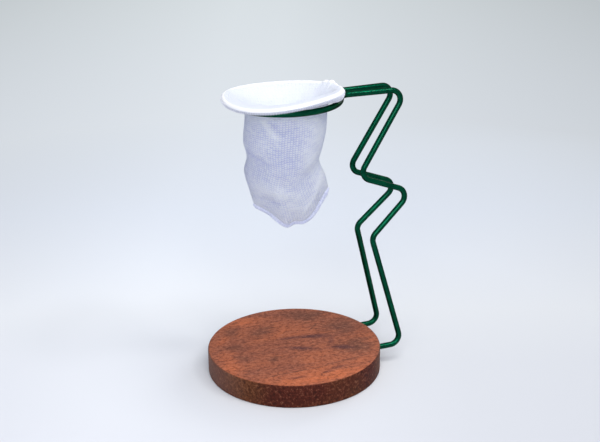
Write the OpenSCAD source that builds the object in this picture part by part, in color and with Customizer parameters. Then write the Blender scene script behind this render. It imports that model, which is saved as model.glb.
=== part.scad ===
// Coffee filter stand: a bent wire frame in a wooden disc, holding a cloth filter.
// Millimetres, +Z up. The origin is the centre of the disc's underside and +X points
// from the disc's centre towards the wire's feet.

/* [Wooden base] */
// Diameter of the disc
base_d = 110; // [96:1:140]
// Thickness of the disc
base_h = 15; // [12:0.5:24]
// Rounding of the disc's edges
base_edge_r = 0.8; // [0.4:0.1:1.6]
// Depth of the sockets' centre lines below the top face
socket_drop = 4; // [3.2:0.1:6]
// Depth of each socket from the disc's edge
socket_depth = 24; // [12:1:32]
// Radial clearance of the wire in its sockets
socket_gap = 0.05; // [0.02:0.01:0.09]

/* [Wire frame] */
// Diameter of the painted wire
wire_d = 3.6; // [3:0.1:4.2]
// Radius of the bends in the legs, on the wire's centre line
bend_r = 6; // [4.5:0.5:7]
// Distance of the foot bends beyond the disc's edge
foot_out = 13; // [10:0.5:20]
// Distance between the two feet
foot_spread = 34; // [26:1:40]
// Rise from the feet to the lower knees
lower_leg_rise = 74; // [60:1:90]
// How far the lower knees stand in from the feet
lower_knee_in = 19.4; // [12:0.2:26]
// Distance between the lower knees
lower_knee_spread = 22.8; // [19:0.2:26]
// Rise from the lower knees to the elbows
elbow_rise = 26; // [22:1:32]
// How far the elbows stand out from the lower knees
elbow_out = 28.4; // [22:0.2:34]
// Distance between the elbows
elbow_spread = 18.4; // [16.4:0.2:21]
// Rise from the elbows to the upper knees
upper_knee_rise = 13.8; // [10:0.2:18]
// How far the upper knees stand in from the elbows
upper_knee_in = 36; // [30:0.5:40]
// Distance between the upper knees
upper_knee_spread = 16; // [14.6:0.2:18]
// Rise from the upper knees to the shoulders
upper_leg_rise = 52; // [42:1:64]
// How far the shoulders stand out from the upper knees
shoulder_out = 32.6; // [26:0.2:38]
// Distance between the shoulders
shoulder_spread = 13.8; // [13:0.2:15]

/* [Stand ring] */
// Diameter of the ring, on the wire's centre line
ring_d = 68; // [64:0.5:76]
// Place of the ring's centre along X
ring_x = -4.8; // [-14:0.1:2]
// Slope of the arms and ring, rising away from the shoulders
ring_slope = 0.2; // [0:0.1:1.5]
// Angle at which each arm runs in towards the neck
arm_taper = 2.6; // [1:0.1:3]
// Radius of the bends between the arms and the ring
neck_bend_r = 8; // [6:0.5:10]

/* [Filter rim] */
// Diameter of the hoop's steel wire
hoop_wire_d = 1.6; // [1.2:0.1:2]
// Gap between the hoop's two butted ends, in degrees
hoop_end_gap = 1.5; // [0.5:0.5:4]
// Thickness of the folded cloth binding round the hoop
binding_wall = 0.5; // [0.4:0.05:0.9]
// How much larger the hoop's radius is than the ring's
hoop_outset = 0.4; // [-0.6:0.1:0.8]
// Clearance between the binding and the ring that it rests on
rest_gap = 0.2; // [0.2:0.05:0.6]
// Place of the hoop's centre from the ring's centre, along X
hoop_shift_x = -1.9; // [-2:0.1:2]
// Place of the hoop's centre from the ring's centre, along Y
hoop_shift_y = -2.6; // [-3:0.1:3]
// Tilt of the hoop that raises its side by the arms
hoop_tilt_x = 1.3; // [0:0.1:3]
// Tilt of the hoop that lowers its far side
hoop_tilt_y = -0.4; // [-2:0.1:2]
// Diameter of the sewing thread
thread_d = 0.4; // [0.3:0.05:0.5]
// Radius of the largest pucker where the binding is gathered
pucker_r = 2.3; // [2:0.1:2.6]

/* [Filter bag] */
// Thickness of the knitted cloth
cloth_t = 0.8; // [0.6:0.05:1.1]
// Room between the bag's throat and the ring's inner side
throat_gap = 7.5; // [6:0.5:12]
// Radius of the cloth's turn from the rim down into the bag
lip_r = 2.2; // [1.6:0.1:3]
// Depth of the bag, from the hoop down to its sewn bottom
bag_depth = 81; // [66:1:90]
// Turn of the bag's sewn plane about Z
bag_turn = -22; // [-40:1:0]
// Half width of the sewn bottom
bottom_half_w = 21.4; // [18:0.2:22]
// How far the sewn bottom stands out towards its long side
bottom_shift = 5.4; // [3:0.2:6]
// Depth of the main folds
fold_depth = 1.1; // [0:0.1:1.4]
// Depth of the dent in the bag's long side
dent_depth = 4.6; // [0:0.2:5]
// Width of the sewn seam allowance
seam_w = 3; // [2:0.2:4]
// Thickness of the sewn seam allowance
seam_t = 1.3; // [1:0.1:1.5]
// Length of one stitch on the seam
stitch_len = 2; // [1.4:0.1:2.6]

/* [Hidden] */
$fn = 48;

// Sockets and feet
socket_z = base_h - socket_drop;
socket_r = wire_d / 2 + socket_gap;
edge_x = sqrt(pow(base_d / 2, 2) - pow(foot_spread / 2, 2));
socket_end_x = edge_x - socket_depth;
tip_gap = 0.5;

// A ball a hair thicker than the wire joins each straight run to its bend, over a hair's gap
ball_r = wire_d / 2 + 0.02;
ball_gap = 0.04;

// Corners of the near leg, from the wire's end in the socket up to the shoulder
foot_x = base_d / 2 + foot_out;
lower_knee_x = foot_x - lower_knee_in;
elbow_x = lower_knee_x + elbow_out;
upper_knee_x = elbow_x - upper_knee_in;
shoulder_x = upper_knee_x + shoulder_out;
lower_knee_z = socket_z + lower_leg_rise;
elbow_z = lower_knee_z + elbow_rise;
upper_knee_z = elbow_z + upper_knee_rise;
shoulder_z = upper_knee_z + upper_leg_rise;

// The ring and the arms lie in one sloping plane, whose origin is the ring's centre
ring_r = ring_d / 2;
arm_reach = (shoulder_x - ring_x) / cos(ring_slope);
ring_z = shoulder_z + arm_reach * sin(ring_slope);
arm_dir = [-cos(arm_taper), -sin(arm_taper)];
arm_out = [-sin(arm_taper), cos(arm_taper)];
neck_from = [arm_reach, shoulder_spread / 2] + neck_bend_r * arm_out;
neck_b = neck_from * arm_dir;
neck_c = neck_from * neck_from - pow(ring_r + neck_bend_r, 2);
neck_centre = neck_from + (-neck_b - sqrt(neck_b * neck_b - neck_c)) * arm_dir;
arm_end = neck_centre - neck_bend_r * arm_out;
neck_angle = atan2(neck_centre[1], neck_centre[0]);
neck_start = atan2(-arm_out[1], -arm_out[0]);
neck_sweep = neck_start - (neck_angle - 180);
ring_cut = asin(ball_gap / ring_r);

leg = [
    [socket_end_x + tip_gap, -foot_spread / 2, socket_z],
    [foot_x, -foot_spread / 2, socket_z],
    [lower_knee_x, -lower_knee_spread / 2, lower_knee_z],
    [elbow_x, -elbow_spread / 2, elbow_z],
    [upper_knee_x, -upper_knee_spread / 2, upper_knee_z],
    [shoulder_x, -shoulder_spread / 2, shoulder_z],
    [
        ring_x + arm_end[0] * cos(ring_slope),
        -arm_end[1],
        ring_z - arm_end[0] * sin(ring_slope)
    ]
];
last = len(leg) - 1;

// Filter rim, which rests on the ring
hoop_r = ring_r + hoop_outset;
sleeve_gap = 0.08;
binding_r = hoop_wire_d / 2 + sleeve_gap + binding_wall;
hoop_x = ring_x + hoop_shift_x;
hoop_y = hoop_shift_y;
hoop_rise = hoop_r * norm([sin(hoop_tilt_x + ring_slope), sin(hoop_tilt_y)]);
hoop_z = ring_z + wire_d / 2 + binding_r + rest_gap + hoop_rise;
thread_gap = 0.05;
stitch_ring_r = binding_r + thread_d / 2 + thread_gap;
stitch_ring_angle = -12;

// Where the binding's ends overlap, it is gathered into puckers beside the arms
pucker_count = 4;
pucker_from = -2;
pucker_step = 4.6;
pucker_tallest = 1;
pucker_fade = 0.1;
pucker_lift = 0.7;
crease = 0.3;
sleeve_from = pucker_from + pucker_step * pucker_count;
sleeve_sweep = 360 - pucker_step * pucker_count - crease;

// Filter bag. Its sewn plane stands upright through the hoop's centre: u runs along
// that plane, v across it, and phi turns from +u.
sides = 32;
wall_rings = 11;
lip_rings = 3;
edge_gap = 0.1;
edge_r = hoop_r - binding_r - edge_gap;
throat_r = ring_r - wire_d / 2 - throat_gap;
throat_shift = 3.2;
slit = 0.3;
bottom_lowest = 3;
bottom_round_r = 14.7;
wall_flattening = 0.62;

// Folds: how many go round the bag, their turn at the top, their drift down to the
// bottom and their share of the depth. fold_rise brings them in soon under the throat.
fold_waves = [[3, 70, 90, 1], [5, -40, -120, 0.7]];
fold_rise = 0.7;

// Dent: where it lies between the throat and the bottom, and how far it reaches
dent_at = 0.62;
dent_reach = 0.17;

function unit(v) = v / norm(v);
function turn_at(i) = acos(unit(leg[i] - leg[i - 1]) * unit(leg[i + 1] - leg[i]));
function setback(i) = bend_r * tan(turn_at(i) / 2);
function bend_in(i) = leg[i] - unit(leg[i] - leg[i - 1]) * setback(i);
function bend_out(i) = leg[i] + unit(leg[i + 1] - leg[i]) * setback(i);

// Height of the tilted rim above the hoop's centre
function rim_rise(x, y) = x * tan(hoop_tilt_x) + y * tan(hoop_tilt_y);

// A point of the bag from its own u and v, with z above the hoop's centre
function placed(u, v, z) = [
    u * cos(bag_turn) - v * sin(bag_turn),
    u * sin(bag_turn) + v * cos(bag_turn),
    z
];
function on_rim(u, v, drop) = let (p = placed(u, v, 0)) p + [0, 0, rim_rise(p[0], p[1]) - drop];

// The sewn bottom, as a curve in the upright plane
function bottom_u(phi) = bottom_shift + bottom_half_w * cos(phi);
function bottom_z(phi) = -bag_depth + pow(bottom_u(phi) - bottom_lowest, 2) / (2 * bottom_round_r);

// Main folds: two long waves that drift round the bag, and the dent in its long side
function wave(w, phi, s) = w[3] * cos(w[0] * phi + w[1] + w[2] * s);
function folds(phi, s) = fold_depth * sin(180 * pow(s, fold_rise)) * (
    wave(fold_waves[0], phi, s) + wave(fold_waves[1], phi, s)
);
function dent(phi, s) =
    dent_depth * exp(-pow((s - dent_at) / dent_reach, 2)) * pow(max(0, cos(phi)), 3);

// Wall of the bag: s runs from 0 under the lip to 1 at the sewn bottom
function half_width(s) = throat_r + (bottom_half_w - throat_r) * s * s;
function half_depth(s) = throat_r * pow(1 - s * s, wall_flattening);
function wall_point(phi, s, side) = let (
    out = side * cloth_t / 2,
    swell = folds(phi, s) - dent(phi, s),
    shift = throat_shift + (bottom_shift - throat_shift) * s * s,
    u = shift + (half_width(s) + out * (1 - s) + swell) * cos(phi),
    flat = side > 0 ? cloth_t : slit,
    v = (max(half_depth(s) + out, flat) + swell * (1 - pow(s, 4))) * sin(phi),
    top = on_rim(u, v, lip_r)[2],
    low = bottom_z(phi) + (side > 0 ? 0 : 2 * cloth_t)
) placed(u, v, top + (low - top) * s);

// Cloth between the rim and the throat: first nearly flat, then turning down
function shoulder_point(phi, r, drop) = let (
    k = throat_shift * (edge_r - r) / (edge_r - throat_r)
) on_rim(k + r * cos(phi), r * sin(phi), drop);
function lip_point(phi, a, side) = let (
    r = lip_r - side * cloth_t / 2
) shoulder_point(
    phi,
    throat_r + side * cloth_t / 2 + r * (1 - sin(a)),
    side * cloth_t / 2 + r * (1 - cos(a))
);

function ring_of(k, side) =
    k == 0 ? [for (i = [0:sides - 1]) shoulder_point(360 * i / sides, edge_r, side * cloth_t / 2)] :
    k <= lip_rings ? [
        for (i = [0:sides - 1]) lip_point(360 * i / sides, 90 * (k - 1) / lip_rings, side)
    ] :
    [for (i = [0:sides - 1]) wall_point(360 * i / sides, (k - lip_rings - 1) / wall_rings, side)];

rings = lip_rings + 1 + wall_rings + 1;
bag_points = [
    for (k = [0:rings - 1]) each ring_of(k, 1),
    for (k = [rings - 1:-1:0]) each ring_of(k, -1)
];
function at(k, i) = (k % (2 * rings)) * sides + i % sides;

// Each band of the closed skin, without the one between the two bottom rings
bag_bands = [
    for (k = [0:2 * rings - 1], i = [0:sides - 1]) if (k != rings - 1)
        each [
            [at(k, i), at(k, i + 1), at(k + 1, i + 1)],
            [at(k, i), at(k + 1, i + 1), at(k + 1, i)]
        ]
];

// The bottom ring is flat, so it is closed from its front half to its back half
function zip(k, i, flip) = let (
    a = at(k, i),
    b = at(k, i + 1),
    c = at(k, sides - i - 1),
    d = at(k, sides - i)
) flip ? [[a, c, b], [a, d, c]] : [[a, b, c], [a, c, d]];
bag_caps = [
    for (i = [0:sides / 2 - 1]) each zip(rings - 1, i, false),
    for (i = [0:sides / 2 - 1]) each zip(rings, i, true)
];
bag_faces = [for (f = concat(bag_bands, bag_caps)) if (f[0] != f[1] && f[1] != f[2] && f[2] != f[0]) f];

// Seam allowance: it hangs from the flat bottom ring, in the sewn plane
seam_steps = sides / 2;
seam_end_share = 0.25;
seam_widening = 2.5;
seam_inner = [for (i = [0:seam_steps]) [bottom_u(180 * i / seam_steps), bottom_z(180 * i / seam_steps)]];
function seam_along(i) = unit(seam_inner[min(i + 1, seam_steps)] - seam_inner[max(i - 1, 0)]);
function seam_out(i) = let (t = seam_along(i)) [-t[1], t[0]];
function seam_taper(i) = min(1, seam_end_share + seam_widening * sin(180 * i / seam_steps));
seam_outer = [for (i = [0:seam_steps]) seam_inner[i] + seam_w * seam_taper(i) * seam_out(i)];

// A straight run. Its balls, 0 at its start and 1 at its end, turn with it.
module straight(from, to, balls) {
    v = to - from;
    start = balls[0] == 0 ? ball_gap : 0;
    translate(from)
        rotate([0, acos(v[2] / norm(v)), atan2(v[1], v[0])]) {
            translate([0, 0, start])
                cylinder(h = norm(v) - start - ball_gap, d = wire_d);
            for (b = balls)
                translate([0, 0, b * norm(v)])
                    sphere(r = ball_r);
        }
}

module bend(i) {
    before = unit(leg[i] - leg[i - 1]);
    after = unit(leg[i + 1] - leg[i]);
    axis = unit(cross(before, after));
    centre = leg[i] + unit(after - before) * bend_r / cos(turn_at(i) / 2);
    start = unit(bend_in(i) - centre);
    side = cross(axis, start);
    multmatrix([
        [start[0], side[0], axis[0], centre[0]],
        [start[1], side[1], axis[1], centre[1]],
        [start[2], side[2], axis[2], centre[2]],
        [0, 0, 0, 1]
    ])
        rotate_extrude(angle = turn_at(i))
            translate([bend_r, 0])
                circle(d = wire_d);
}

module wire_half() {
    straight(leg[0], bend_in(1), [1]);
    for (i = [1:last - 1]) {
        bend(i);
        straight(bend_out(i), i + 1 < last ? bend_in(i + 1) : leg[last], [0, 1]);
    }
}

module ring_plane() {
    translate([ring_x, 0, ring_z])
        rotate([0, ring_slope, 0])
            children();
}

module neck_bend() {
    translate(neck_centre)
        arc(neck_bend_r, neck_start - neck_sweep, neck_sweep)
            circle(d = wire_d);
    rotate([0, 0, neck_angle])
        translate([ring_r, 0])
            rotate([90, 0, 0])
                sphere(r = ball_r);
}

module hoop_plane() {
    translate([hoop_x, hoop_y, hoop_z])
        rotate([hoop_tilt_y, -hoop_tilt_x, 0])
            children();
}

module arc(radius, from, sweep) {
    rotate([0, 0, from])
        rotate_extrude(angle = sweep)
            translate([radius, 0])
                children();
}

module sewn_plane() {
    translate([hoop_x, hoop_y, hoop_z])
        rotate([0, 0, bag_turn])
            rotate([90, 0, 0])
                children();
}

module wooden_base() {
    color("sienna")
        difference() {
            rotate_extrude($fn = 160) {
                translate([0, base_edge_r])
                    square([base_d / 2, base_h - 2 * base_edge_r]);
                square([base_d / 2 - base_edge_r, base_h]);
                for (z = [base_edge_r, base_h - base_edge_r])
                    translate([base_d / 2 - base_edge_r, z])
                        circle(r = base_edge_r);
            }
            for (y = [-1, 1] * foot_spread / 2)
                translate([socket_end_x, y, socket_z])
                    rotate([0, 90, 0])
                        cylinder(h = base_d / 2 - socket_end_x, r = socket_r);
        }
}

module wire_frame() {
    color("darkgreen") {
        wire_half();
        mirror([0, 1, 0])
            wire_half();
        ring_plane() {
            neck_bend();
            mirror([0, 1, 0])
                neck_bend();
            arc(ring_r, neck_angle + ring_cut, 360 - 2 * (neck_angle + ring_cut))
                circle(d = wire_d);
        }
    }
}

module filter_hoop() {
    color("silver")
        hoop_plane()
            arc(hoop_r, hoop_end_gap / 2, 360 - hoop_end_gap)
                circle(d = hoop_wire_d);
}

module sleeve(from, sweep, r) {
    arc(hoop_r, from, sweep)
        difference() {
            translate((r - binding_r) * [1, pucker_lift])
                circle(r = r);
            circle(r = hoop_wire_d / 2 + sleeve_gap);
        }
}

module rim_binding() {
    color("white")
        hoop_plane() {
            sleeve(sleeve_from, sleeve_sweep, binding_r);
            for (i = [0:pucker_count - 1])
                sleeve(
                    pucker_from + pucker_step * i,
                    pucker_step - crease,
                    pucker_r * (1 - pucker_fade * abs(i - pucker_tallest))
                );
        }
}

module rim_stitching() {
    color("gainsboro")
        hoop_plane()
            arc(hoop_r, sleeve_from + crease, sleeve_sweep - 2 * crease)
                rotate(stitch_ring_angle)
                    translate([stitch_ring_r, 0])
                        circle(d = thread_d, $fn = 16);
}

module filter_bag() {
    color("lavender")
        translate([hoop_x, hoop_y, hoop_z])
            polyhedron(points = bag_points, faces = bag_faces);
}

module bag_seam() {
    color("thistle")
        sewn_plane()
            linear_extrude(seam_t, center = true)
                polygon(concat(seam_inner, [for (i = [seam_steps:-1:0]) seam_outer[i]]));
}

module seam_stitching() {
    color("ghostwhite")
        sewn_plane()
            for (i = [1:seam_steps - 1], z = [-1, 1])
                translate(concat(
                    (seam_inner[i] + seam_outer[i]) / 2,
                    z * (seam_t / 2 + thread_d / 2 + thread_gap)
                ))
                    rotate([0, 0, atan2(seam_along(i)[1], seam_along(i)[0])])
                        rotate([0, 90, 0])
                            cylinder(h = stitch_len, d = thread_d, center = true, $fn = 16);
}

wooden_base();
wire_frame();
filter_hoop();
rim_binding();
rim_stitching();
filter_bag();
bag_seam();
seam_stitching();
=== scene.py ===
import math

import bmesh
import bpy
from mathutils import Matrix, Vector, noise


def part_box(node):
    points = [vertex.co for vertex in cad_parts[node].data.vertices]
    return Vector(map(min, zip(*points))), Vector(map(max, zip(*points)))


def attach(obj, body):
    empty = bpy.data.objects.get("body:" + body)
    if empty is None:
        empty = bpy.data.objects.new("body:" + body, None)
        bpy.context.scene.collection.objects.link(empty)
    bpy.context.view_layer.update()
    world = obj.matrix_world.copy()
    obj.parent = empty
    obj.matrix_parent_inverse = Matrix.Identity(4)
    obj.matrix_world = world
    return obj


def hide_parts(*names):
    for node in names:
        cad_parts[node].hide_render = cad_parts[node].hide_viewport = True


# Looks of the coffee filter stand: a hardwood disc, a green painted wire frame and a white
# cloth filter. Metres, +Z up, origin at the centre of the disc's underside, +X towards the
# wire's feet. Angles are in degrees.
MM = 0.001

# Camera, at the photograph's viewing angle
LENS = 70.18
CAMERA_TURN = -21.84
CAMERA_RISE = 20.65
CAMERA_ROLL = -0.62
CAMERA_DISTANCE = 719.04 * MM
CAMERA_ASIDE = 4.63 * MM
CAMERA_AIM = 99.47 * MM

# Wooden disc
DISC_SIDES = 192
DISC_EDGE = 0.8 * MM
SOCKET_R = 1.85 * MM
SOCKET_END = 28.3 * MM
SOCKET_Y = 17 * MM
SOCKET_Z = 11 * MM
GRAIN_TURN = 4

# The board's figure on the disc's top: the middle, turn, half length and half width of each
# streak, in millimetres, and how strong it is
PURPLE_STREAKS = [
    ((5, 9), -8, (10, 2.2), 0.8),
    ((17, 6), -20, (9, 3.2), 0.9),
    ((2, -6), -24, (10, 2.4), 0.9),
    ((27, -15), -22, (9, 2.8), 0.9),
    ((24, -4), 60, (5, 2), 0.6),
    ((-14, -42), 3, (5, 1.1), 0.6),
    ((5, -42), 3, (4, 1.3), 0.7),
    ((14, -39), 12, (6, 1.5), 0.6),
]
BROWN_PATCHES = [
    ((-19, -14), 30, (5, 2.6), 0.7),
    ((-37, -5), -40, (6, 3), 0.6),
    ((-38, 11), -15, (9, 4), 0.6),
    ((-32, 32), 55, (9, 5), 0.6),
    ((-13, 25), 20, (11, 6), 0.7),
    ((24, 37), -30, (16, 9), 0.8),
    ((38, 14), -6, (16, 11), 0.8),
    ((36, -17), -15, (14, 10), 0.9),
    ((22, 20), 42, (8, 0.6), 0.7),
    ((42, 14), 22, (11, 0.6), 0.7),
    ((-15, -34.4), -1, (26, 0.55), 0.9),
    ((24, -32), 6, (20, 0.55), 0.9),
    ((46, -9), -8, (8, 2.2), 0.5),
]
ORANGE_PATCHES = [
    ((-18, 43), 5, (13, 7), 0.7),
    ((-39, 24), 50, (8, 3), 0.6),
    ((-3, 18), 40, (9, 2), 0.5),
    ((-47, -12), 80, (22, 6), 0.6),
    ((-12, -38), 0, (26, 6), 0.5),
    ((-12, -47), 0, (34, 5), 0.8),
    ((8, -48), 6, (24, 5), 0.7),
    ((35, 34), 10, (3, 1.2), 0.6),
]

# Light and floor: the lamps' places, aims, sizes, watts and colours
SKY = 0.48
AIM = (0, 0, 0.08)
LAMPS = [
    ("overhead", (0.08, -0.22, 1.2), AIM, 0.8, 7.8, (1.0, 0.985, 0.96)),
    ("front", (-0.4, -1.0, 0.75), AIM, 0.9, 9.0, (1.0, 0.99, 0.97)),
    ("glint", (0.58, -0.6, 1.15), AIM, 0.2, 2.2, (1.0, 0.99, 0.97)),
    ("right_back", (1.0, 0.6, 0.4), AIM, 0.6, 5.0, (0.92, 0.95, 1.0)),
]
# The floor's painted pool of light: the turn of its axes and its middle
FLOOR_TURN = 21.84
FLOOR_MIDDLE = (-0.06, 0.0, 0)

# Wire frame: the near leg's corners, from its end in the disc up to the arm's end
WIRE_R = 1.8 * MM
BEND_R = 6 * MM
LEG = [
    (28.8, -17, 11),
    (68, -17, 11),
    (48.6, -11.4, 85),
    (77, -9.2, 111),
    (41, -8, 124.8),
    (73.6, -6.9, 176.8),
]
RING_R = 34 * MM
RING_X = -4.8 * MM
RING_SLOPE = 0.2
NECK_R = 8 * MM
ARM_TAPER = 2.6

# Filter rim: the hem's centre line, a little oval, which dips and rises as it goes round
HEM_X, HEM_Y, HEM_Z = -6.83 * MM, -4.8 * MM, 180.7 * MM
HEM_R = 34.52 * MM
HEM_OVAL = 1.0 * MM
HEM_OVAL_TURN = 27.5
HEM_TILT_X = 1.7
HEM_TILT_Y = -2.37
HEM_TWIST = -1.0 * MM
HEM_WAVE = -0.23 * MM
HEM_WAVE_SIDE = 0.33 * MM
HEM_TUBE_R = 1.7 * MM
HOOP_WIRE_R = 0.8 * MM
GATHER_FROM = 3
GATHER_TO = 29
GATHER_HEIGHT = 2.0 * MM
SAG_TURN = -30
SAG_HALF = 42
SAG_CLEARANCE = 0.15 * MM
STITCH_PITCH = 1.45 * MM
THREAD_R = 0.22 * MM

# Filter bag, in its sewn plane: u runs along that plane, v across it, away from the camera.
# The sides are (height, u) and the bottom's edge (u, height), in millimetres.
BAG_X, BAG_Y = -7.5 * MM, -2.4 * MM
BAG_TURN = -22
CLOTH_T = 0.5 * MM
THROAT_U, THROAT_V = 3.5 * MM, -4.8 * MM
THROAT_HALF_U = 24.2 * MM
THROAT_HALF_V = 18.5 * MM
FUNNEL = 0.22
FUNNEL_DROP = 9 * MM
FAR_DROP = 15 * MM
RING_CLEARANCE = 0.9 * MM
BAG_LEFT = [(178, -20.8), (168, -20.9), (154.5, -22.2), (144, -20.4), (135, -22.2), (123, -19.6), (113, -17)]
BAG_RIGHT = [(178, 27.0), (168, 27.0), (159, 26.3), (148, 23.9), (141, 22.3), (131, 26.0), (122.4, 27.7)]
BAG_EDGE = [
    (-18, 111),
    (-8.7, 105.6),
    (-1.8, 99.5),
    (3.1, 97.2),
    (7.3, 99.2),
    (13.7, 99.9),
    (20, 105.2),
    (25.6, 114.9),
    (29.3, 121.4),
]
SEAM_W = 2.4 * MM
SEAM_T = 1.1 * MM
WALES = 92
WALE = 1.7 * MM
COURSE = 1.4 * MM

# Folds of the bag, each from and to (u, height), half width and how far it stands out, in
# millimetres: on the side towards the camera, then on the side away from it
FRONT_FOLDS = [
    ((-14.5, 178), (-2, 160), 1.7, 1.8),
    ((-10, 176), (1, 162), 2.2, -0.9),
    ((4, 170), (9, 157), 4.5, -0.6),
    ((21, 176), (22.5, 150), 4.0, 1.0),
    ((26, 138), (19.7, 119), 1.8, 1.8),
    ((20.5, 121), (11, 104), 1.9, 1.6),
    ((28, 127), (25, 119), 1.6, -0.6),
    ((16, 152), (21, 136), 4.5, 1.2),
    ((-21, 149), (-7, 143), 2.0, -1.2),
    ((-19, 138), (-8, 133), 4.0, -0.5),
    ((-5, 151), (9, 146), 4.2, -0.9),
    ((-18, 119), (2, 116), 1.3, -1.1),
    ((-15, 126), (12, 120), 4.0, 1.3),
    ((2, 114), (12, 110), 3.0, 1.2),
    ((-14, 113), (-2, 107), 2.4, -0.4),
]
BACK_FOLDS = [
    ((-16, 168), (2, 150), 2.4, 1.4),
    ((14, 172), (20, 150), 2.6, -1.2),
    ((-20, 140), (-2, 130), 2.4, -1.2),
    ((22, 142), (8, 124), 2.6, 1.4),
    ((-14, 124), (4, 112), 2.2, 1.1),
    ((8, 140), (-4, 148), 2.8, -0.9),
]


def turned(degrees, radius=1.0):
    angle = math.radians(degrees)
    return Vector((radius * math.cos(angle), radius * math.sin(angle), 0))


def paint(red, green, blue):
    """A colour written as a painter reads it on a screen, 0 to 255, as the shader wants it."""
    levels = [c / 255 for c in (red, green, blue)]
    return tuple(c / 12.92 if c <= 0.04045 else ((c + 0.055) / 1.055) ** 2.4 for c in levels) + (1,)


def along(points, x):
    """The height at x of a smooth curve through points, whose x values all rise or all fall."""
    points = sorted(points)
    x = min(max(x, points[0][0]), points[-1][0])
    i = next(k for k in range(len(points) - 1) if x <= points[k + 1][0])
    (x0, y0), (x1, y1) = points[i], points[i + 1]
    xb, yb = points[max(i - 1, 0)]
    xa, ya = points[min(i + 2, len(points) - 1)]
    step = x1 - x0
    start = (y1 - yb) / (x1 - xb) * step
    end = (ya - y0) / (xa - x0) * step
    k = (x - x0) / step
    return (
        y0 * (2 * k**3 - 3 * k**2 + 1)
        + start * (k**3 - 2 * k**2 + k)
        + y1 * (3 * k**2 - 2 * k**3)
        + end * (k**3 - k**2)
    )


# Pieces

def piece(name, mesh, material, body, slot, *nodes):
    """A finished piece that rides on its body and stands for CAD nodes."""
    obj = bpy.data.objects.new(name, mesh)
    bpy.context.scene.collection.objects.link(obj)
    mesh.materials.append(material)
    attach(obj, body)
    if nodes:
        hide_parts(*nodes)
    return obj


def finished(bm, name, sharp_above=None):
    """The mesh of bm, with smooth faces and, where asked, sharp edges above an angle."""
    mesh = bpy.data.meshes.new(name)
    bm.to_mesh(mesh)
    bm.free()
    mesh.shade_smooth()
    if sharp_above:
        mesh.set_sharp_from_angle(angle=math.radians(sharp_above))
    return mesh


def mesh_of(obj):
    """The mesh of obj with its modifiers or curve applied. The object goes."""
    bpy.context.view_layer.update()
    seen = obj.evaluated_get(bpy.context.evaluated_depsgraph_get())
    mesh = bpy.data.meshes.new_from_object(seen)
    bpy.data.objects.remove(obj)
    return mesh


def tubes(name, routes, radius, sides, closed=False):
    """Round tubes of one radius along routes, as one mesh."""
    curve = bpy.data.curves.new(name, "CURVE")
    curve.dimensions = "3D"
    curve.bevel_depth = radius
    curve.bevel_resolution = sides // 2 - 2
    curve.use_fill_caps = not closed
    for route in routes:
        spline = curve.splines.new("POLY")
        spline.points.add(len(route) - 1)
        for point, place in zip(spline.points, route):
            point.co = (*place, 1)
        spline.use_cyclic_u = closed
    obj = bpy.data.objects.new(name, curve)
    bpy.context.scene.collection.objects.link(obj)
    mesh = mesh_of(obj)
    mesh.shade_smooth()
    return mesh


def shaped_grid(name, across, down, place, size, fold_shade=None):
    """A closed grid of cloth whose points go to place(p, q), with p and q from 0 to 1. size is
    the cloth's width and length, for the weave. The last argument gives, at p and q, the height
    of its folds, kept on the cloth for the painted light and shade of its material."""
    bm = bmesh.new()
    bmesh.ops.create_grid(bm, x_segments=across, y_segments=down, size=0.5)
    weave = bm.loops.layers.uv.new("weave")
    for face in bm.faces:
        for loop in face.loops:
            p, q = loop.vert.co.x + 0.5, loop.vert.co.y + 0.5
            loop[weave].uv = (p * size[0], q * size[1])
    height = bm.verts.layers.float.new("fold_shade")
    for vert in bm.verts:
        p, q = vert.co.x + 0.5, vert.co.y + 0.5
        vert[height] = fold_shade(p, q) if fold_shade else 0
        vert.co = place(p, q)
    bmesh.ops.remove_doubles(bm, verts=bm.verts, dist=0.01 * MM)
    bmesh.ops.recalc_face_normals(bm, faces=bm.faces)
    return finished(bm, name)


# Wooden disc

def turned_disc(material):
    low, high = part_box("wooden_base")
    bm = bmesh.new()
    bmesh.ops.create_circle(bm, cap_ends=True, segments=DISC_SIDES, radius=high.x)
    raised = bmesh.ops.extrude_face_region(bm, geom=bm.faces[:])["geom"]
    top = [v for v in raised if isinstance(v, bmesh.types.BMVert)]
    bmesh.ops.translate(bm, vec=(0, 0, high.z - low.z), verts=top)
    bmesh.ops.recalc_face_normals(bm, faces=bm.faces)
    rims = [e for e in bm.edges if e.calc_face_angle(0) > 1]
    bmesh.ops.bevel(
        bm, geom=rims, offset=DISC_EDGE, segments=4, profile=0.5, affect="EDGES", material=-1
    )
    caps = [f for f in bm.faces if len(f.verts) == DISC_SIDES]
    for cap in caps:
        bmesh.ops.inset_region(bm, faces=[cap], thickness=DISC_EDGE, use_even_offset=True)
    disc = bpy.data.objects.new("disc_blank", finished(bm, "disc_blank"))
    bpy.context.scene.collection.objects.link(disc)
    drills = []
    for side in (-1, 1):
        drill = bmesh.new()
        reach = high.x - SOCKET_END
        bmesh.ops.create_cone(
            drill, cap_ends=True, segments=32, radius1=SOCKET_R, radius2=SOCKET_R, depth=reach,
            matrix=Matrix.Translation((SOCKET_END + reach / 2, side * SOCKET_Y, SOCKET_Z))
            @ Matrix.Rotation(math.radians(90), 4, "Y"),
        )
        cutter = bpy.data.objects.new("drill", finished(drill, "drill"))
        bpy.context.scene.collection.objects.link(cutter)
        cut = disc.modifiers.new("socket", "BOOLEAN")
        cut.operation = "DIFFERENCE"
        cut.object = cutter
        drills.append(cutter)
    mesh = mesh_of(disc)
    for cutter in drills:
        bpy.data.objects.remove(cutter)
    mesh.name = "turned_disc"
    mesh.materials.clear()
    mesh.set_sharp_from_angle(angle=math.radians(40))
    return piece("turned_disc", mesh, material, "base", "hardwood", "wooden_base")


# Wire frame

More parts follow.
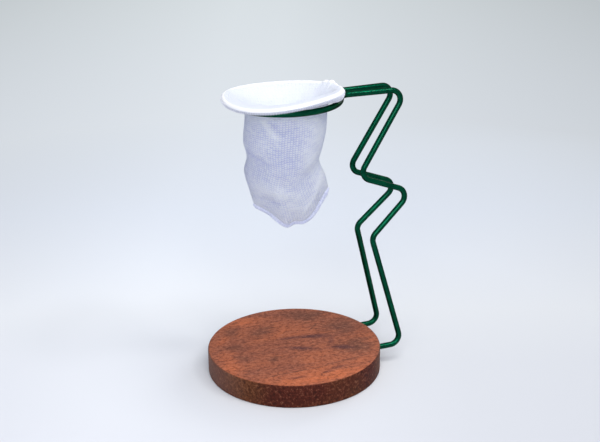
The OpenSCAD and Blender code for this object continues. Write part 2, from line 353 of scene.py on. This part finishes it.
def rounded(corners, radius, steps=10):
    """The route through corners, with each inner corner turned into an arc."""
    route = [corners[0]]
    for before, corner, after in zip(corners, corners[1:], corners[2:]):
        back, on = (before - corner).normalized(), (after - corner).normalized()
        half = back.angle(on) / 2
        middle = corner + (back + on).normalized() * radius / math.sin(half)
        spoke = corner + back * radius / math.tan(half) - middle
        axis = back.cross(on)
        for k in range(steps + 1):
            turn = Matrix.Rotation(-(math.pi - 2 * half) * k / steps, 3, axis)
            route.append(middle + turn @ spoke)
    return route + [corners[-1]]


def ring_place(x, y):
    """A point of the plane that the arms and the ring lie in."""
    slope = math.radians(RING_SLOPE)
    shoulder_x, shoulder_z = LEG[-1][0] * MM, LEG[-1][2] * MM
    rise = (shoulder_x - RING_X) * math.tan(slope)
    return Vector((RING_X + x * math.cos(slope), y, shoulder_z + rise - x * math.sin(slope)))


def wire_route():
    reach = (LEG[-1][0] * MM - RING_X) / math.cos(math.radians(RING_SLOPE))
    run = turned(180 + ARM_TAPER)
    out = turned(90 + ARM_TAPER)
    start = Vector((reach, -LEG[-1][1] * MM, 0)) + NECK_R * out
    gap = start.dot(start) - (RING_R + NECK_R) ** 2
    centre = start + (-start.dot(run) - math.sqrt(start.dot(run) ** 2 - gap)) * run
    meets = math.degrees(math.atan2(centre.y, centre.x))
    sweep = (ARM_TAPER - 90) - (meets - 180)
    neck = [centre + turned(ARM_TAPER - 90 - sweep * k / 16, NECK_R) for k in range(17)]
    ring = [turned(meets + (360 - 2 * meets) * k / 120, RING_R) for k in range(1, 120)]
    near_neck = [ring_place(p.x, -p.y) for p in neck]
    corners = [Vector(c) * MM for c in LEG]
    near = rounded(corners + [near_neck[0]], BEND_R)[:-1]
    half = near + near_neck
    far = [Vector((p.x, -p.y, p.z)) for p in reversed(half)]
    return half + [ring_place(p.x, p.y) for p in reversed(ring)] + far


def bent_wire(material):
    mesh = tubes("bent_wire", [wire_route()], WIRE_R, 24)
    return piece("bent_wire", mesh, material, "frame", "green_paint", "wire_frame")


# Filter rim

def hem_place(turn):
    """The hem's centre line at a turn round the hoop."""
    arm = turned(turn, HEM_R + HEM_OVAL * math.cos(math.radians(2 * (turn - HEM_OVAL_TURN))))
    angle = math.radians(turn)
    rise = arm.x * math.tan(math.radians(HEM_TILT_X)) + arm.y * math.tan(math.radians(HEM_TILT_Y))
    wave = (
        HEM_TWIST * math.sin(2 * angle)
        + HEM_WAVE * math.cos(3 * angle)
        + HEM_WAVE_SIDE * math.sin(3 * angle)
    )
    return Vector((HEM_X, HEM_Y, HEM_Z)) + arm + Vector((0, 0, rise + wave))


def gathered(turn):
    """How much the cloth is gathered at a turn: 0 nearly all round, up to 1 by the arms."""
    turn = (turn + 180) % 360 - 180
    k = (turn - GATHER_FROM) / (GATHER_TO - GATHER_FROM)
    return math.sin(math.pi * k) ** 0.6 if 0 < k < 1 else 0


def pucker(turn):
    """The height of the bunched cloth: one lump with small puckers on it."""
    turn = (turn + 180) % 360 - 180
    k = (turn - GATHER_FROM) / (GATHER_TO - GATHER_FROM)
    return gathered(turn) ** 2 * (0.8 + 0.2 * math.sin(19 * k))


def sagging(turn, round_hoop):
    """How far the hem's cloth sags on to the ring's wire, on the side near the arms."""
    away = ((turn - SAG_TURN + 180) % 360 - 180) / SAG_HALF
    if abs(away) > 1:
        return 0
    share = 0.9 * math.cos(math.pi / 2 * away) ** 2
    hem = hem_place(turn)
    aside = (hem - Vector((RING_X, 0, 0))).xy.length - RING_R
    above = hem.z - ring_place(hem.x - RING_X, 0).z
    room = math.hypot(aside, above) - WIRE_R - HEM_TUBE_R - SAG_CLEARANCE
    towards_wire = 180 + math.degrees(math.atan2(above, aside))
    facing = max(0, math.cos(math.radians(round_hoop - towards_wire)))
    return share * room * facing**2


def hem_skin(turn, round_hoop, lift=0.0):
    """A point on the hem. round_hoop is the angle round the hoop's wire: 0 outwards, 90 up."""
    lumps = 0.08 * MM * noise.noise(Vector((turn / 9, round_hoop / 70, 3)))
    upper = max(0, math.sin(math.radians(round_hoop + 15)))
    bunched = GATHER_HEIGHT * pucker(turn) * upper + sagging(turn, round_hoop)
    radius = HEM_TUBE_R + lumps + lift + bunched
    out = turned(turn)
    side = math.radians(round_hoop)
    return hem_place(turn) + out * radius * math.cos(side) + Vector((0, 0, radius * math.sin(side)))


def rim_hem(material):
    strip = (2 * math.pi * HEM_R, 2 * math.pi * HEM_TUBE_R)
    mesh = shaped_grid(
        "rim_hem", 720, 24, lambda p, q: hem_skin(360 * p, 360 * q), strip
    )
    hem = piece("rim_hem", mesh, material, "filter", "binding_cloth", "rim_binding")
    return hem


def hidden_hoop(material):
    route = [hem_place(360 * k / 180) for k in range(180)]
    mesh = tubes("hidden_hoop", [route], HOOP_WIRE_R, 12, closed=True)
    return piece("hidden_hoop", mesh, material, "filter", "hoop_steel", "filter_hoop")


def rim_stitches(material):
    """Threads that wrap the hem's lower outer side, one after another."""
    count = round(2 * math.pi * HEM_R / STITCH_PITCH)
    routes = []
    for i in range(count):
        turn = 360 * i / count
        slant = 0.25 * noise.noise(Vector((i * 0.7, 0, 0)))
        routes.append([
            hem_skin(turn + (0.9 + slant) * k / 6, -105 + 120 * k / 6, 0.6 * THREAD_R)
            for k in range(7)
        ])
    mesh = tubes("rim_stitches", routes, THREAD_R, 6)
    return piece("rim_stitches", mesh, material, "filter", "thread", "rim_stitching")


# Filter bag

def bag_place(u, v, z):
    across = turned(BAG_TURN)
    away = turned(BAG_TURN + 90)
    return Vector((BAG_X, BAG_Y, 0)) + across * u + away * v + Vector((0, 0, z))


def fold_swell(u, z, folds):
    """How far the folds make the wall stand out at a place of the sewn plane."""
    total = 0
    here = Vector((u, z)) / MM
    for start, end, width, height in folds:
        line = Vector(end) - Vector(start)
        k = min(max((here - Vector(start)).dot(line) / line.dot(line), 0), 1)
        near = (here - Vector(start) - line * k).length / width
        total += height * MM * math.exp(-near * near) * (0.5 + 0.5 * math.sin(math.pi * k))
    return total


def slack_swell(u, z):
    """The small uneven swellings of slack cloth."""
    wide = noise.noise(Vector((u, z, 0.02)) * 60)
    return (0.8 * wide + 0.35 * noise.noise(Vector((u, z, 0.05)) * 150)) * MM


def rim_height(point):
    """Height of the rim's own plane above a point inside it, with the hem's waves fading inwards."""
    arm = Vector((point.x - HEM_X, point.y - HEM_Y, 0))
    turn = math.degrees(math.atan2(arm.y, arm.x))
    edge = hem_place(turn)
    share = min(arm.length / HEM_R, 1)
    plane = (
        HEM_Z
        + arm.x * math.tan(math.radians(HEM_TILT_X))
        + arm.y * math.tan(math.radians(HEM_TILT_Y))
    )
    wave = edge.z - HEM_Z - (
        (edge.x - HEM_X) * math.tan(math.radians(HEM_TILT_X))
        + (edge.y - HEM_Y) * math.tan(math.radians(HEM_TILT_Y))
    )
    return plane + wave * share**2


def edge_place(u):
    """The bag's lower edge at u, and the way out of it, in millimetres of the sewn plane."""
    step = 0.4
    slope = (along(BAG_EDGE, u + step) - along(BAG_EDGE, u - step)) / (2 * step)
    return Vector((u, along(BAG_EDGE, u))), Vector((slope, -1)).normalized()


def sewn_line():
    """The seam's own line, a seam allowance inside the bag's edge."""
    return [tuple(place - out * SEAM_W / MM) for place, out in (edge_place(u) for u, _ in BAG_EDGE)]


SEWN = sewn_line()


def throat_place(phi):
    """The throat, where the funnel of cloth inside the rim turns down into the bag."""
    side = math.radians(phi)
    u = THROAT_U + THROAT_HALF_U * math.cos(side)
    v = THROAT_V + THROAT_HALF_V * math.sin(side)
    place = bag_place(u, v, 0)
    place.z = rim_height(place) - FUNNEL_DROP - FAR_DROP * max(0, math.sin(side)) ** 1.5
    return place


def funnel_place(phi, k):
    """The cloth from the hem, over the ring's wire and down into the throat. On the far side it
    slopes deeper, as slack cloth does."""
    turn = phi + BAG_TURN
    hem = hem_place(turn) - turned(turn) * HEM_TUBE_R * 0.15
    hem.z += HEM_TUBE_R * 0.86
    throat = throat_place(phi)
    ring = Vector((RING_X, 0, 0))
    far, near = ((place - ring).xy.length for place in (hem, throat))
    edge = RING_R - WIRE_R - RING_CLEARANCE
    flat = min(max((far - edge) / (far - near), 0), 0.8)
    start = 0.6 * flat
    if k < start:
        inwards, down = flat * k / start, 0.03 * k / start
    else:
        t = (k - start) / (1 - start)
        first, second, third = 3 * t * (1 - t) ** 2, 3 * t * t * (1 - t), t**3
        inwards = flat + (1 - flat) * (0.5 * first + second + third)
        down = 0.03 + 0.97 * (0.08 * first + 0.5 * second + third)
    place = hem.lerp(throat, inwards)
    place.z = hem.z + (throat.z - hem.z) * down
    pleats = noise.noise(Vector((phi / 6, k * 1.2, 5))) * 0.3 * MM * math.sin(math.pi * k)
    gather = GATHER_HEIGHT * 0.8 * pucker(turn + 4 * k) * (1 - k) ** 2
    place.z += pleats + gather
    return place


def wall_spot(phi, s):
    """Where a point of the bag's wall is in the sewn plane, before its folds."""
    side = math.radians(phi)
    head = throat_place(phi).z
    (first_u, first_z), (last_u, last_z) = SEWN[0], SEWN[-1]
    foot_u = (first_u + last_u) / 2 + (last_u - first_u) / 2 * math.cos(side)
    foot_z = along(SEWN, foot_u) * MM
    left = along(BAG_LEFT, (head + (first_z * MM - head) * s) / MM) * MM
    right = along(BAG_RIGHT, (head + (last_z * MM - head) * s) / MM) * MM
    return (left + right) / 2 + (right - left) / 2 * math.cos(side), head + (foot_z - head) * s


def wall_folds(phi, s):
    """How far the folds stand out of the wall: s runs from 0 at the throat to 1 at the seam."""
    u, z = wall_spot(phi, s)
    return fold_swell(u, z, FRONT_FOLDS if phi > 180 else BACK_FOLDS) * (1 - s**5)


def wall_place(phi, s):
    side = math.radians(phi)
    u, z = wall_spot(phi, s)
    fade = min(1, 7 * s) * abs(math.sin(side)) ** 0.6
    swell = (wall_folds(phi, s) + slack_swell(u, z) * (1 - s**5)) * fade
    depth = THROAT_HALF_V * (1 - s * s) ** 0.8 + CLOTH_T * s
    v = THROAT_V * (1 - s) + depth * math.sin(side) + (-swell if phi > 180 else swell)
    return bag_place(u, v, z)


def bag_cloth_place(p, q):
    """The whole cloth from the hem to the seam, with p round the bag and q down it."""
    if q < FUNNEL:
        return funnel_place(360 * p, q / FUNNEL)
    return wall_place(360 * p, (q - FUNNEL) / (1 - FUNNEL))


def bag_cloth_fold_shade(p, q):
    """The height of the folds on the cloth, in millimetres, which the material paints as light
    and shade. Towards the seam it rises, so that a paler band is painted there as light."""
    s = max(0, (q - FUNNEL) / (1 - FUNNEL))
    return wall_folds(360 * p, s) / MM + s**8 if s else 0


def filter_cloth(material):
    mesh = shaped_grid(
        "filter_cloth", 256, 160, bag_cloth_place, (WALES * WALE, 0.09), fold_shade=bag_cloth_fold_shade
    )
    cloth = piece("filter_cloth", mesh, material, "filter", "bag_cloth", "filter_bag")
    wall = cloth.modifiers.new("cloth", "SOLIDIFY")
    wall.thickness = CLOTH_T
    wall.offset = 0
    return cloth


# Seam along the bag's bottom

def seam_place(k, w, v):
    """A point of the seam allowance: k along the bag's edge, w out of the sewn line and v
    across the plane."""
    (first, _), (last, _) = BAG_EDGE[0], BAG_EDGE[-1]
    edge, out = edge_place(first + (last - first) * k)
    wave = 0.5 * MM * noise.noise(Vector((k * 9, 2, 0))) * w / SEAM_W
    spot = edge * MM + out * (w - SEAM_W)
    return bag_place(spot.x, v + wave, spot.y)


def seam_allowance(material):
    def place(p, q):
        side = 2 * math.pi * q
        taper = min(1, 0.6 + 4 * math.sin(math.pi * min(max(p, 0), 1)))
        w = (0.46 - 0.54 * math.cos(side)) * SEAM_W * taper
        return seam_place(p, w, SEAM_T / 2 * math.sin(side) * taper)

    mesh = shaped_grid("seam_allowance", 160, 12, place, (0.06, 0.007))
    return piece("seam_allowance", mesh, material, "filter", "bag_cloth", "bag_seam")


def seam_stitches(material):
    count = 44
    routes = []
    for i in range(2, count - 1):
        k = i / count
        loop = []
        for j in range(9):
            side = 2 * math.pi * (0.08 + 0.84 * j / 8)
            w = (0.46 - 0.56 * math.cos(side)) * SEAM_W
            loop.append(seam_place(k + 0.012 * j / 8, w, (SEAM_T / 2 + 0.5 * THREAD_R) * math.sin(side)))
        routes.append(loop)
    mesh = tubes("seam_stitches", routes, THREAD_R, 6)
    return piece("seam_stitches", mesh, material, "filter", "thread", "seam_stitching")


# Finishes

class Finish:
    """A material on one Principled shader. Even values are set on the shader itself."""

    def __init__(self, name, **even):
        self.material = bpy.data.materials.new(name)
        self.material.use_nodes = True
        self.tree = self.material.node_tree
        self.shader = self.tree.nodes["Principled BSDF"]
        for socket, value in even.items():
            self.shader.inputs[socket.replace("_", " ")].default_value = value

    def feed(self, socket, value):
        if isinstance(value, bpy.types.NodeSocket):
            self.tree.links.new(value, socket)
        else:
            socket.default_value = value

    def node(self, kind, inputs=None, **settings):
        made = self.tree.nodes.new("ShaderNode" + kind)
        for name, value in settings.items():
            setattr(made, name, value)
        for socket, value in (inputs or {}).items():
            self.feed(made.inputs[socket], value)
        return made

    def place(self, scale=(1, 1, 1), turn=0.0, at=(0, 0, 0), weave=False):
        """Coordinates on the piece, or along its cloth, moved to at, turned and stretched."""
        source = self.node("TexCoord").outputs["Object"]
        if weave:
            source = self.node("UVMap", uv_map="weave").outputs["UV"]
        moved = self.node("VectorMath", {0: source, 1: at}, operation="SUBTRACT")
        turn = self.node("Mapping", {
            "Vector": moved.outputs[0], "Rotation": (0, 0, math.radians(turn)),
        })
        return self.node("VectorMath", {0: turn.outputs[0], 1: scale}, operation="MULTIPLY").outputs[0]

    def noise(self, place, scale=1.0, detail=3.0, roughness=0.5, distortion=0.0):
        return self.node("TexNoise", {
            "Vector": place, "Scale": scale, "Detail": detail,
            "Roughness": roughness, "Distortion": distortion,
        }).outputs["Fac"]

    def ramp(self, fac, *stops):
        made = self.node("ValToRGB", {"Fac": fac})
        elements = made.color_ramp.elements
        while len(elements) < len(stops):
            elements.new(0.5)
        for element, (where, colour) in zip(elements, stops):
            element.position = where
            element.color = colour if len(colour) == 4 else (*colour, 1)
        return made.outputs["Color"]

    def level(self, fac, low, high, out_low=0.0, out_high=1.0):
        return self.node("MapRange", {
            "Value": fac, "From Min": low, "From Max": high, "To Min": out_low, "To Max": out_high,
        }).outputs["Result"]

    def mix(self, fac, a, b, blend="MIX"):
        made = self.node("Mix", data_type="RGBA", blend_type=blend)
        self.feed(made.inputs["Factor"], fac)
        self.feed(made.inputs[6], a)
        self.feed(made.inputs[7], b)
        return made.outputs[2]

    def sum(self, a, b, kind="ADD"):
        return self.node("Math", {0: a, 1: b}, operation=kind).outputs[0]

    def bump(self, height, distance, strength=1.0):
        made = self.node("Bump", {"Height": height, "Strength": strength, "Distance": distance})
        self.feed(self.shader.inputs["Normal"], made.outputs["Normal"])
        return made.outputs["Normal"]


def figure(f, body, streaks, colour):
    """Soft, ragged streaks of one colour laid over the body of the wood."""
    ragged = f.noise(f.place((90, 330, 200), GRAIN_TURN), detail=4, roughness=0.65)
    for (x, y), turn, (length, width), strength in streaks:
        here = f.place((1 / (length * MM), 1 / (width * MM), 0), -turn, (x * MM, y * MM, 0))
        away = f.node("VectorMath", {0: here}, operation="LENGTH").outputs["Value"]
        away = f.sum(away, f.level(ragged, 0.3, 0.7, 0.5, -0.5))
        body = f.mix(f.level(away, 0.3, 1.35, strength, 0), body, colour)
    return body


def hardwood():
    """Reddish brown board: grain along X, mottled, with purple streaks and open pores."""
    f = Finish("hardwood", Roughness=0.6, Specular_IOR_Level=0.1)
    mottle = f.noise(f.place((26, 60, 40), GRAIN_TURN), detail=4, roughness=0.6, distortion=0.7)
    body = f.ramp(
        mottle,
        (0.3, paint(136, 79, 60)),
        (0.45, paint(150, 86, 62)),
        (0.55, paint(158, 90, 63)),
        (0.7, paint(172, 96, 64)),
    )
    body = figure(f, body, ORANGE_PATCHES, paint(193, 105, 66))
    body = figure(f, body, BROWN_PATCHES, paint(104, 64, 50))
    body = figure(f, body, PURPLE_STREAKS, paint(84, 48, 48))
    flow = f.noise(f.place((9, 110, 50), GRAIN_TURN), detail=2, distortion=0.5)
    rings = f.sum(f.sum(f.sum(flow, 9, "MULTIPLY"), 1, "FRACT"), 0.5, "SUBTRACT")
    line = f.level(f.sum(rings, 0, "ABSOLUTE"), 0.0, 0.2, 0.3, 0)
    body = f.mix(line, body, paint(106, 64, 54))
    fibres = f.noise(f.place((420, 480, 480), GRAIN_TURN), detail=4, roughness=0.75)
    body = f.mix(f.level(fibres, 0.34, 0.5, 0.75, 0), body, paint(78, 42, 34))
    body = f.mix(f.level(fibres, 0.52, 0.68, 0, 0.35), body, paint(204, 134, 102))
    pores = f.noise(f.place((420, 2500, 2500), GRAIN_TURN), detail=2, roughness=0.7)
    body = f.mix(f.level(pores, 0.58, 0.68, 0, 0.55), body, paint(66, 36, 32))
    # The disc's side: its cut grain is darker than the top, and its colour is darker still as painted shade,
    # for the side gets less light than the top
    out = f.node("VectorMath", {0: f.place((1, 1, 0))}, operation="LENGTH").outputs["Value"]
    edge = f.level(out, 54.3 * MM, 54.7 * MM)
    olive = f.level(f.noise(f.place((20, 20, 20), 0, (0.05, 0, 0)), detail=2), 0.42, 0.58)
    cut = f.mix(olive, paint(82, 34, 23), paint(102, 58, 34))
    coarse = f.noise(f.place((620, 620, 560)), detail=3, roughness=0.75)
    cut = f.mix(f.level(coarse, 0.35, 0.58, 0.75, 0), cut, paint(32, 15, 11))
    cut = f.mix(f.level(coarse, 0.56, 0.74, 0, 0.65), cut, paint(150, 104, 80))
    ends = f.level(f.sum(f.node("SeparateXYZ", {0: f.place()}).outputs[0], 0, "ABSOLUTE"), 0.044, 0.055)
    cut = f.mix(f.sum(ends, 0.3, "MULTIPLY"), cut, paint(150, 110, 96))
    body = f.mix(edge, body, cut)
    f.feed(f.shader.inputs["Base Color"], body)
    f.bump(f.sum(fibres, f.sum(pores, -0.8, "MULTIPLY")), 0.15 * MM, 0.7)
    return f.material


def green_paint():
    """Thick glossy enamel, with the slight runs of dipped wire."""
    f = Finish(
        "green_paint", Metallic=0.8, Roughness=0.25, Specular_IOR_Level=0.0,
        Specular_Tint=paint(0, 110, 80), Coat_Weight=0.08, Coat_Roughness=0.05,
    )
    mottle = f.noise(f.place(), 240, 3)
    colour = f.ramp(mottle, (0.3, paint(0, 60, 41)), (0.7, paint(0, 77, 52)))
    f.feed(f.shader.inputs["Base Color"], colour)
    runs = f.noise(f.place(), 420, 2)
    f.bump(runs, 0.12 * MM, 0.5)
    return f.material


def steel():
    f = Finish("hoop_steel", Metallic=1.0, Base_Color=paint(190, 190, 194))
    scratches = f.noise(f.place((400, 400, 4000)), 1, 2)
    f.feed(f.shader.inputs["Roughness"], f.level(scratches, 0.3, 0.7, 0.28, 0.45))
    return f.material


def knit(name, loop, gap, wale, course, lit_through, depth, painted_light_top=None, painted_shade_below=None, sheen=0.1):
    """Knitted cotton: columns of V-shaped loops run down the cloth, and light comes through it.
    Its folds carry painted light and shade: paler on their backs and darker between them.
    The whiter range is where, in metres down the cloth, it starts and ends to turn white as
    painted light from above; the duller range, where it turns duller as painted shade below."""
    f = Finish(name, Roughness=0.95, Sheen_Weight=sheen, Sheen_Roughness=0.5, Specular_IOR_Level=0.1)
    cloth = f.place((1 / wale, 1 / course, 0), weave=True)
    across, down, _ = f.node("SeparateXYZ", {0: cloth}).outputs
    leg = f.sum(f.sum(f.sum(across, 1, "FRACT"), 0.5, "SUBTRACT"), 2, "MULTIPLY")
    leg = f.sum(leg, 0, "ABSOLUTE")
    slant = f.sum(f.sum(down, f.sum(leg, 0.45, "MULTIPLY")), 2 * math.pi, "MULTIPLY")
    rung = f.level(f.sum(slant, 0, "SINE"), -0.9, 0.5, 0.1, 1)
    loops = f.sum(rung, f.level(leg, 0.5, 1, 1, 0.1), "MULTIPLY")
    stitch = f.node("VectorMath", {0: cloth, 1: (1, 1, 1)}, operation="SNAP").outputs[0]
    odd = f.node("TexWhiteNoise", {"Vector": stitch}).outputs["Value"]
    fuzz = f.level(f.noise(f.place(), 1500, 3, 0.7), 0.3, 0.7)
    drift = f.noise(f.place(), 90, 4, 0.6)
    tone = f.sum(f.sum(loops, 0.9, "MULTIPLY"), f.sum(fuzz, 0.3, "MULTIPLY"))
    tone = f.sum(tone, f.level(odd, 0, 1, -0.15, 0.25))
    # Painted light and shade: paler on the folds' backs, darker between them, by their height
    fold_shade = f.node("Attribute", attribute_name="fold_shade").outputs["Fac"]
    tone = f.sum(tone, f.level(fold_shade, -1.4, 1.4, -0.5, 0.5))
    tone = f.sum(tone, f.level(drift, 0.35, 0.65, -0.1, 0.14))
    colour = f.mix(tone, gap, loop)
    _, depth_down, _ = f.node("SeparateXYZ", {0: f.place(weave=True)}).outputs
    # Painted light: whiter where the light falls on the cloth from above
    if painted_light_top:
        colour = f.mix(f.level(depth_down, *painted_light_top, 0.9, 0), colour, loop)
    # Painted shade: duller grey-lavender where the cloth is in shade below
    if painted_shade_below:
        colour = f.mix(f.level(depth_down, *painted_shade_below, 0, 0.8), colour, paint(178, 184, 205))
    f.feed(f.shader.inputs["Base Color"], colour)
    normal = f.bump(f.sum(loops, f.sum(fuzz, 0.6, "MULTIPLY")), depth, 0.9)
    through = f.node("BsdfTranslucent", {"Color": colour, "Normal": normal})
    both = f.node("MixShader", {0: lit_through, 1: f.shader.outputs[0], 2: through.outputs[0]})
    f.feed(f.tree.nodes["Material Output"].inputs["Surface"], both.outputs[0])
    return f.material


def cotton_thread(name, dark, light):
    f = Finish(name, Roughness=0.85, Specular_IOR_Level=0.15, Sheen_Weight=0.1)
    twist = f.noise(f.place(), 1800, 2)
    colour = f.ramp(twist, (0.3, dark), (0.7, light))
    f.feed(f.shader.inputs["Base Color"], colour)
    f.bump(twist, 0.1 * MM, 0.7)
    return f.material


# Surroundings

def floor():
    """A pale sheet that runs back. Its colour holds a painted pool of light: lightest a little
    behind the disc, darker towards the camera, far back, to the sides and most to the right.
    Far off, where the lamps don't reach, the eye and the gloss still see it as pale."""
    f = Finish("pale_floor", Roughness=1.0, Specular_IOR_Level=0.0)
    aside, depth, _ = f.node("SeparateXYZ", {0: f.place(turn=FLOOR_TURN, at=FLOOR_MIDDLE)}).outputs
    # Painted pool of light: the floor's tone by depth, then painted shade to the sides and to the right
    tone = f.ramp(
        f.level(depth, -0.2, 1.4),
        (0.08, paint(220, 222, 226)),
        (0.14, paint(224, 226, 229)),
        (0.19, paint(231, 233, 234)),
        (0.32, paint(227, 232, 238)),
        (0.5, paint(224, 230, 237)),
        (1.0, paint(217, 224, 228)),
    )
    shade = f.level(f.sum(aside, 0, "ABSOLUTE"), 0.04, 0.6, 1, 0.74)
    right = f.level(depth, 0.1, 0.5, 0.88, 0.98)
    shade = f.sum(shade, f.level(aside, -0.06, 0.16, 1, right), "MULTIPLY")
    tone = f.mix(1, tone, shade, "MULTIPLY")
    f.feed(f.shader.inputs["Base Color"], tone)
    away = f.node("VectorMath", {0: f.place()}, operation="LENGTH").outputs["Value"]
    light = f.node("LightPath")
    seen = f.sum(f.sum(light.outputs["Is Camera Ray"], light.outputs["Is Glossy Ray"], "MAXIMUM"),
                 light.outputs["Is Transmission Ray"], "MAXIMUM")
    glow = f.node("Emission", {"Color": tone})
    far = f.sum(f.level(away, 0.22, 0.6), seen, "MULTIPLY")
    both = f.node("MixShader", {0: far, 1: f.shader.outputs[0], 2: glow.outputs[0]})
    f.feed(f.tree.nodes["Material Output"].inputs["Surface"], both.outputs[0])
    bm = bmesh.new()
    bmesh.ops.create_grid(bm, x_segments=8, y_segments=8, size=12)
    ground = bpy.data.objects.new("pale_floor", finished(bm, "pale_floor"))
    ground.data.materials.append(f.material)
    bpy.context.scene.collection.objects.link(ground)


def soft_lamp(name, place, aim, size, power, colour):
    lamp = bpy.data.lights.new(name, "AREA")
    lamp.shape = "DISK"
    lamp.size = size
    lamp.energy = power
    lamp.color = colour
    obj = bpy.data.objects.new(name, lamp)
    obj.location = place
    obj.rotation_euler = (Vector(place) - Vector(aim)).to_track_quat("Z", "Y").to_euler()
    bpy.context.scene.collection.objects.link(obj)


def studio():
    world = bpy.data.worlds.new("studio")
    bpy.context.scene.world = world
    world.use_nodes = True
    nodes, links = world.node_tree.nodes, world.node_tree.links
    sky = nodes["Background"]
    sky.inputs["Color"].default_value = paint(208, 217, 240)
    sky.inputs["Strength"].default_value = SKY
    wall = nodes.new("ShaderNodeBackground")
    wall.inputs["Color"].default_value = paint(208, 215, 219)
    light = nodes.new("ShaderNodeLightPath")
    seen = light.outputs["Is Camera Ray"]
    for ray in ("Is Glossy Ray", "Is Transmission Ray"):
        either = nodes.new("ShaderNodeMath")
        either.operation = "MAXIMUM"
        links.new(seen, either.inputs[0])
        links.new(light.outputs[ray], either.inputs[1])
        seen = either.outputs[0]
    both = nodes.new("ShaderNodeMixShader")
    links.new(seen, both.inputs[0])
    links.new(sky.outputs[0], both.inputs[1])
    links.new(wall.outputs[0], both.inputs[2])
    links.new(both.outputs[0], nodes["World Output"].inputs["Surface"])
    for lamp in LAMPS:
        soft_lamp(*lamp)
    floor()


def place_camera():
    turn, rise, roll = (math.radians(a) for a in (CAMERA_TURN, CAMERA_RISE, CAMERA_ROLL))
    back = Vector((math.sin(turn) * math.cos(rise), -math.cos(turn) * math.cos(rise), math.sin(rise)))
    right = Vector((math.cos(turn), math.sin(turn), 0))
    up = back.cross(right)
    place = right * CAMERA_ASIDE + Vector((0, 0, CAMERA_AIM)) + back * CAMERA_DISTANCE
    level = (
        right * math.cos(roll) + up * math.sin(roll),
        up * math.cos(roll) - right * math.sin(roll),
        back,
    )
    view = bpy.data.cameras.new("camera")
    view.lens = LENS
    camera = bpy.data.objects.new("camera", view)
    camera.matrix_world = Matrix.Translation(place) @ Matrix(level).transposed().to_4x4()
    bpy.context.scene.collection.objects.link(camera)
    bpy.context.scene.camera = camera


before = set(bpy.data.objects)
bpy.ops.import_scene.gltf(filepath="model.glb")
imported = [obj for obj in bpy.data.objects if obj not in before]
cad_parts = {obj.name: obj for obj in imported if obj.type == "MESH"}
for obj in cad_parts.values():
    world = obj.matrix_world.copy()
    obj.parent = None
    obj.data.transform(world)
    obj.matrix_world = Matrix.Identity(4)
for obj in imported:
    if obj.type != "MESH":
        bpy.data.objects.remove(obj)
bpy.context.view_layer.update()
bpy.context.scene.view_settings.view_transform = "Standard"
place_camera()
studio()

# The hem's lower, outer side, where the stitches wrap it, is painted grey-lavender as shade
white_knit = knit(
    "white_knit", paint(255, 255, 255), paint(244, 245, 250), 0.8 * MM, 0.9 * MM, 0.15, 0.05 * MM,
    painted_shade_below=(6.6 * MM, 7.4 * MM),
)
# The bag's cloth is white: its lavender tone is painted shade, and the white at its top, over the funnel
# inside the rim, is painted light from above
bag_knit = knit(
    "bag_knit", paint(246, 249, 255), paint(199, 204, 235), WALE, COURSE, 0.35, 0.25 * MM,
    painted_light_top=(14 * MM, 24 * MM), sheen=0.3,
)
# The seam's cloth and thread are white: their lavender tone is painted shade, as on the bag
seam_knit = knit("seam_knit", paint(224, 228, 245), paint(194, 199, 229), WALE, COURSE, 0.1, 0.12 * MM)
turned_disc(hardwood())
bent_wire(green_paint())
hidden_hoop(steel())
rim_hem(white_knit)
rim_stitches(cotton_thread("rim_thread", paint(204, 207, 220), paint(238, 240, 247)))
seam_allowance(seam_knit)
# Painted shade: the seam thread's lavender tone, as on the bag
seam_stitches(cotton_thread("seam_thread", paint(196, 200, 226), paint(224, 227, 245)))
filter_cloth(bag_knit)
